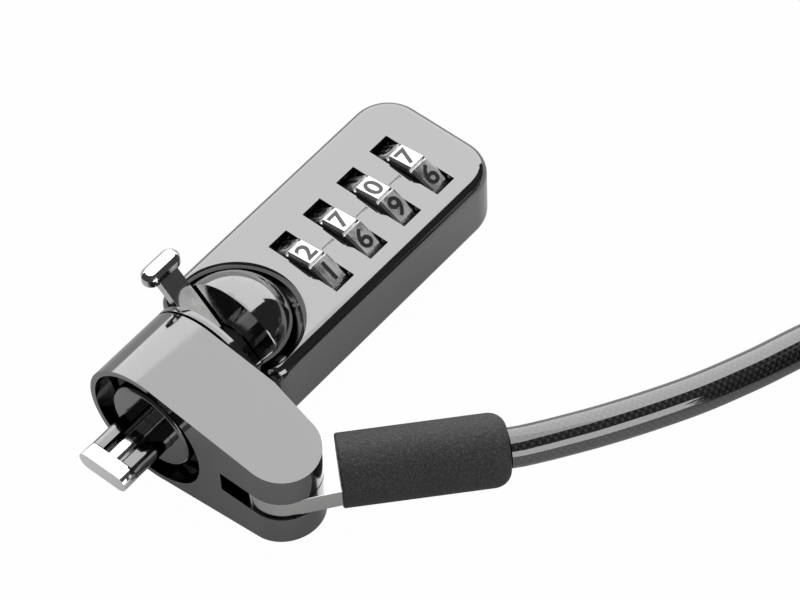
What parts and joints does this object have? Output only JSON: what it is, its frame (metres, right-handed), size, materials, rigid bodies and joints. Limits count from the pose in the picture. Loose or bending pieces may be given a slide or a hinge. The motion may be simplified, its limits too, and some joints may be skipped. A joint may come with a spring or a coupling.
{
  "type": "laptop cable lock",
  "caption": "Laptop cable lock with number wheels in a flat metal body, a tilting lever head with a T-bar, and a swivel collar carrying a coiled security cable.",
  "frame": {"origin": "centre of the head's front face, on the head axis", "axes": "+X out of the head along the T-bar, +Y towards the cable arm of the collar, +Z out of the number face"},
  "size_m": [0.1258, 0.1256, 0.0239],
  "materials": {
    "dark_plated_zinc": "dark nickel plate over a zinc casting, polished",
    "satin_nickel": "bright nickel plate, satin",
    "plain_steel": "ground steel",
    "machined_brass": "turned brass",
    "grained_black_plastic": "moulded with a fine grain",
    "smoked_vinyl_jacket": "smoked clear jacket over a black steel braid"
  },
  "bodies": {
    "body": {"housing": "dark_plated_zinc", "base_cover": "dark_plated_zinc", "cover_pins": "plain_steel", "detent_spring": "plain_steel", "shaft_spring": "plain_steel", "left_pivot_pin": "plain_steel", "right_pivot_pin": "plain_steel"},
    "number_wheel_1": {"dial_1": "satin_nickel", "code_sleeve_1": "machined_brass"},
    "number_wheel_2": {"dial_2": "satin_nickel", "code_sleeve_2": "machined_brass"},
    "number_wheel_3": {"dial_3": "satin_nickel", "code_sleeve_3": "machined_brass"},
    "number_wheel_4": {"dial_4": "satin_nickel", "code_sleeve_4": "machined_brass"},
    "reset_screw": {"reset_screw": "satin_nickel"},
    "code_shaft": {"code_shaft": "plain_steel"},
    "head": {"swivel_ball": "dark_plated_zinc", "head_barrel": "dark_plated_zinc", "head_dowels": "plain_steel", "prong_insert": "plain_steel", "spindle_bush": "machined_brass", "retaining_ring": "plain_steel"},
    "blocking_rod": {"blocking_rod": "plain_steel"},
    "lever": {"lever": "satin_nickel", "t_bar": "satin_nickel"},
    "collar": {"collar": "dark_plated_zinc", "cable_pin": "plain_steel"},
    "cable": {"cable_lug": "satin_nickel", "cable_sleeve": "grained_black_plastic", "cable": "smoked_vinyl_jacket", "cable_coil": "smoked_vinyl_jacket", "cable_tail": "smoked_vinyl_jacket", "loop_ferrule": "plain_steel", "anchor_loop": "smoked_vinyl_jacket"}
  },
  "joints": [
    {"name": "dial_1_turn", "type": "hinge", "parent": "body", "child": "number_wheel_1", "pos_m": [-0.0258, 0.00133, 0], "axis": [1, 0, 0], "continuous": true},
    {"name": "dial_2_turn", "type": "hinge", "parent": "body", "child": "number_wheel_2", "pos_m": [-0.0316, 0.00133, 0], "axis": [1, 0, 0], "continuous": true},
    {"name": "dial_3_turn", "type": "hinge", "parent": "body", "child": "number_wheel_3", "pos_m": [-0.0374, 0.00133, 0], "axis": [1, 0, 0], "continuous": true},
    {"name": "dial_4_turn", "type": "hinge", "parent": "body", "child": "number_wheel_4", "pos_m": [-0.0432, 0.00133, 0], "axis": [1, 0, 0], "continuous": true},
    {"name": "reset_turn", "type": "hinge", "parent": "body", "child": "reset_screw", "pos_m": [-0.049, 0.00133, 0], "axis": [1, 0, 0], "range_deg": [0, 90]},
    {"name": "head_tilt", "type": "hinge", "parent": "body", "child": "head", "pos_m": [-0.01427, 0, 0.00203], "axis": [0, -1, 0], "range_deg": [0, 50]},
    {"name": "lever_turn", "type": "hinge", "parent": "head", "child": "lever", "pos_m": [-0.012, 0, 0], "axis": [-1, 0, 0], "range_deg": [0, 90]},
    {"name": "rod_slide", "type": "slide", "parent": "head", "child": "blocking_rod", "axis": [-1, 0, 0], "range_m": [0, 0.00071]},
    {"name": "shaft_slide", "type": "slide", "parent": "body", "child": "code_shaft", "axis": [-1, 0, 0], "range_m": [0, 0.00071]},
    {"name": "collar_swivel", "type": "hinge", "parent": "head", "child": "collar", "pos_m": [-0.006, 0, 0], "axis": [1, 0, 0], "continuous": true},
    {"name": "cable_swing", "type": "hinge", "parent": "collar", "child": "cable", "pos_m": [-0.0041, 0.0157, 0], "axis": [0, 0, 1], "range_deg": [-90, 30]}
  ],
  "couplings": [
    {"joint": "rod_slide", "follows": "lever_turn", "m_per_rad": 0.00044563},
    {"joint": "shaft_slide", "follows": "lever_turn", "m_per_rad": 0.00044563}
  ]
}
